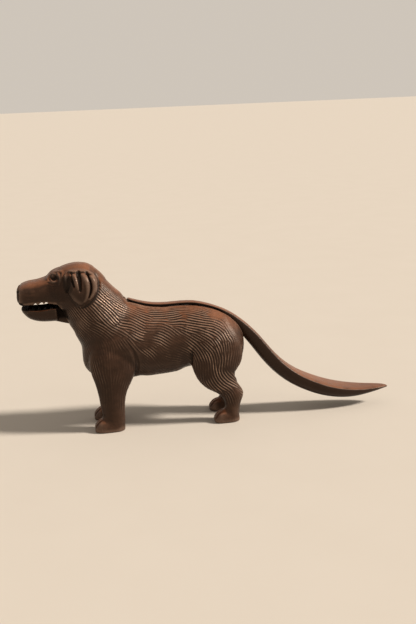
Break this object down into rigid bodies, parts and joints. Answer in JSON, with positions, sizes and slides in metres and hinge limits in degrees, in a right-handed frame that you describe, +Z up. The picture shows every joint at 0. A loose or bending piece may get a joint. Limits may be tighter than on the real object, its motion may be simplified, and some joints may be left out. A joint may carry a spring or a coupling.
{
  "type": "lever nutcracker",
  "caption": "Dog-shaped cast-iron lever nutcracker: lifting the tail opens the lower jaw on a nut, pressing the tail down cracks it.",
  "frame": {"origin": "on the surface that the paws stand on, under the middle of the object's length and width", "axes": "+X towards the tip of the tail, so the dog looks along -X; +Y towards the dog's right side; +Z up"},
  "size_m": [0.2723, 0.0458, 0.1227],
  "materials": {
    "iron": "carved casting under a brown waxed patina",
    "lever_iron": "smooth casting under a brown waxed patina, satin from handling",
    "steel": "dull dark steel"
  },
  "bodies": {
    "body": {"left_body_half": "iron", "right_body_half": "iron", "pivot_pin": "steel", "head_screw": "steel", "shoulder_screw": "steel", "hip_screw": "steel", "front_dowel": "steel", "rear_dowel": "steel"},
    "lever": {"jaw_lever": "lever_iron"}
  },
  "joints": [
    {"name": "jaw_hinge", "type": "hinge", "parent": "body", "child": "lever", "pos_m": [-0.09, 0, 0.082], "axis": [0, -1, 0], "range_deg": [0, 32]}
  ]
}
